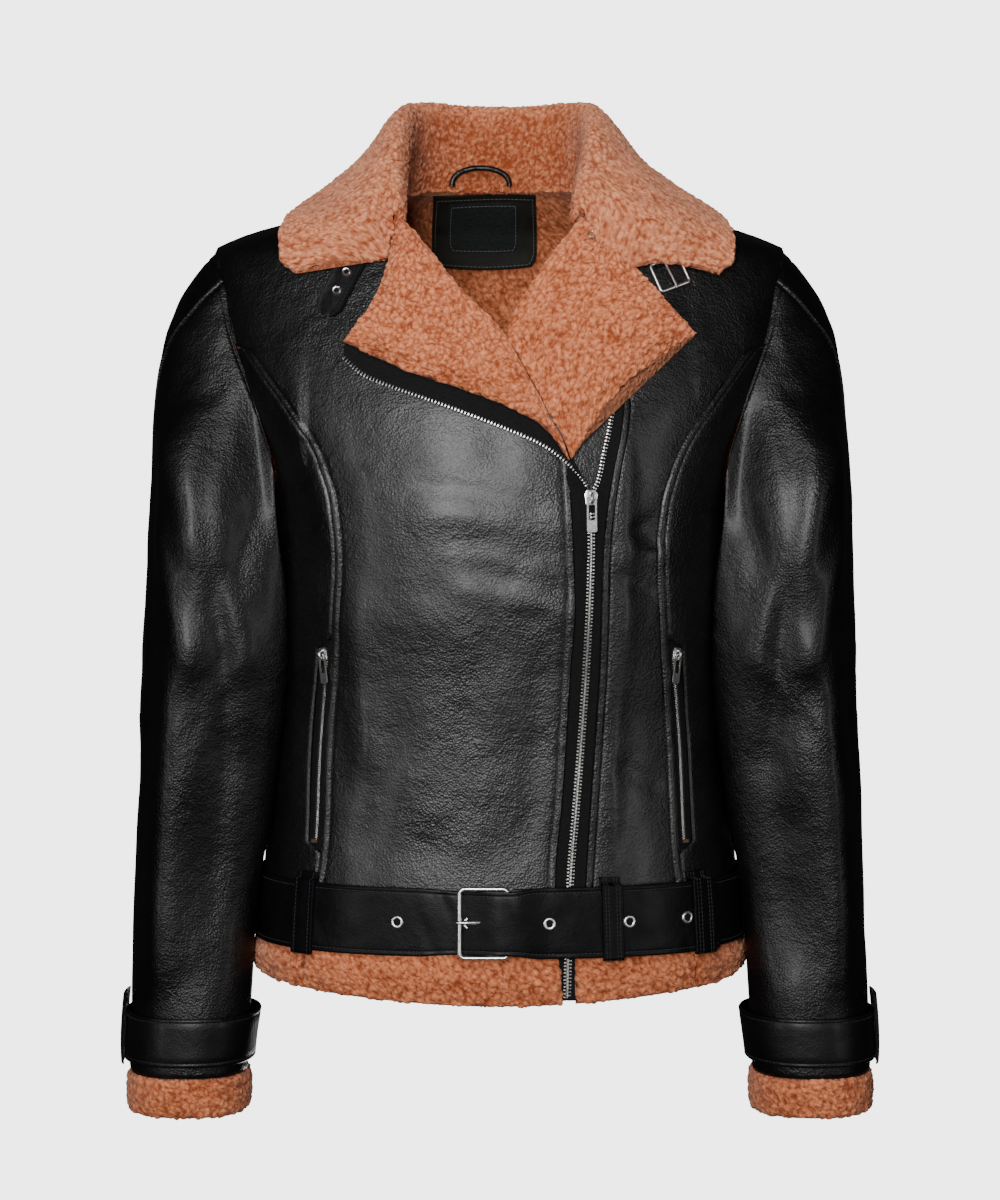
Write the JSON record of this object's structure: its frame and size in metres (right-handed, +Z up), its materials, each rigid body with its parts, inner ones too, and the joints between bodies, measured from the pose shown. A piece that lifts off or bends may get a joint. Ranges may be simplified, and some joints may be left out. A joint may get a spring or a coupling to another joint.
{
  "type": "shearling leather jacket",
  "caption": "Hip-length black leather biker jacket with a wide fleece collar, lapels, hem and cuffs, slanting front zip, side-front pocket zips and a buckled belt.",
  "frame": {"origin": "inside the neck, in the middle plane and at the height of the back neck seam, where a stand or a wearer carries the jacket", "axes": "+Z up, -Y towards the front that the picture shows, +X towards the wearer's left"},
  "size_m": [0.5628, 0.243, 0.7439],
  "materials": {
    "leather": "semi-gloss, fine grain",
    "belt_leather": "satin, nearly smooth",
    "fleece": "matte, curly pile",
    "zip_tape": "matte, woven",
    "metal": "polished",
    "patch": "matte"
  },
  "bodies": {
    "jacket": {"back": "leather", "belt": "belt_leather", "belt_buckle": "metal", "belt_eyelet_1": "metal", "belt_eyelet_2": "metal", "belt_eyelet_3": "metal", "belt_eyelet_4": "metal", "belt_loop_back_left": "belt_leather", "belt_loop_back_right": "belt_leather", "belt_loop_left": "belt_leather", "belt_loop_right": "belt_leather", "belt_loop_side": "belt_leather", "belt_prong": "metal", "collar": "fleece", "collar_buckle": "metal", "collar_buckle_strap": "leather", "collar_eyelet_1": "metal", "collar_eyelet_2": "metal", "collar_strap": "leather", "cuff_fleece_left": "fleece", "cuff_fleece_right": "fleece", "cuff_strap_left": "leather", "cuff_strap_right": "leather", "cuff_tab_left": "leather", "cuff_tab_right": "leather", "front_left": "leather", "front_right": "leather", "hanger_loop": "leather", "hem_back": "fleece", "hem_left": "fleece", "hem_right": "fleece", "lapel_hook": "metal", "lapel_left": "fleece", "lapel_right": "fleece", "neck_patch": "patch", "pocket_slider_left": "metal", "pocket_slider_right": "metal", "pocket_stop_left": "metal", "pocket_stop_right": "metal", "pocket_tape_left": "zip_tape", "pocket_tape_right": "zip_tape", "side_front_left": "leather", "side_front_right": "leather", "top_sleeve_left": "leather", "top_sleeve_right": "leather", "under_sleeve_left": "leather", "under_sleeve_right": "leather", "zip_band_right": "zip_tape", "zip_fly": "leather", "zip_slider": "metal", "zip_tape_left": "zip_tape"},
    "front_pull": {"zip_pull": "metal"},
    "right_pocket_pull": {"pocket_pull_right": "metal"},
    "left_pocket_pull": {"pocket_pull_left": "metal"},
    "buckle_prong": {"collar_prong": "metal"}
  },
  "joints": [
    {"name": "front_pull_swing", "type": "hinge", "parent": "jacket", "child": "front_pull", "pos_m": [0.06495, -0.12009, -0.22586], "axis": [-0.9852, -0.1717, 0.0015], "range_deg": [0, 150]},
    {"name": "right_pocket_pull_swing", "type": "hinge", "parent": "jacket", "child": "right_pocket_pull", "pos_m": [-0.12849, -0.08603, -0.3411], "axis": [-0.751, 0.6413, -0.1573], "range_deg": [0, 150]},
    {"name": "left_pocket_pull_swing", "type": "hinge", "parent": "jacket", "child": "left_pocket_pull", "pos_m": [0.12845, -0.08602, -0.3411], "axis": [-0.7562, -0.6352, 0.1572], "range_deg": [0, 150]},
    {"name": "buckle_prong_swing", "type": "hinge", "parent": "jacket", "child": "buckle_prong", "pos_m": [0.11756, -0.07431, -0.05805], "axis": [-0.8966, -0.3034, -0.3226], "range_deg": [0, 22]}
  ]
}
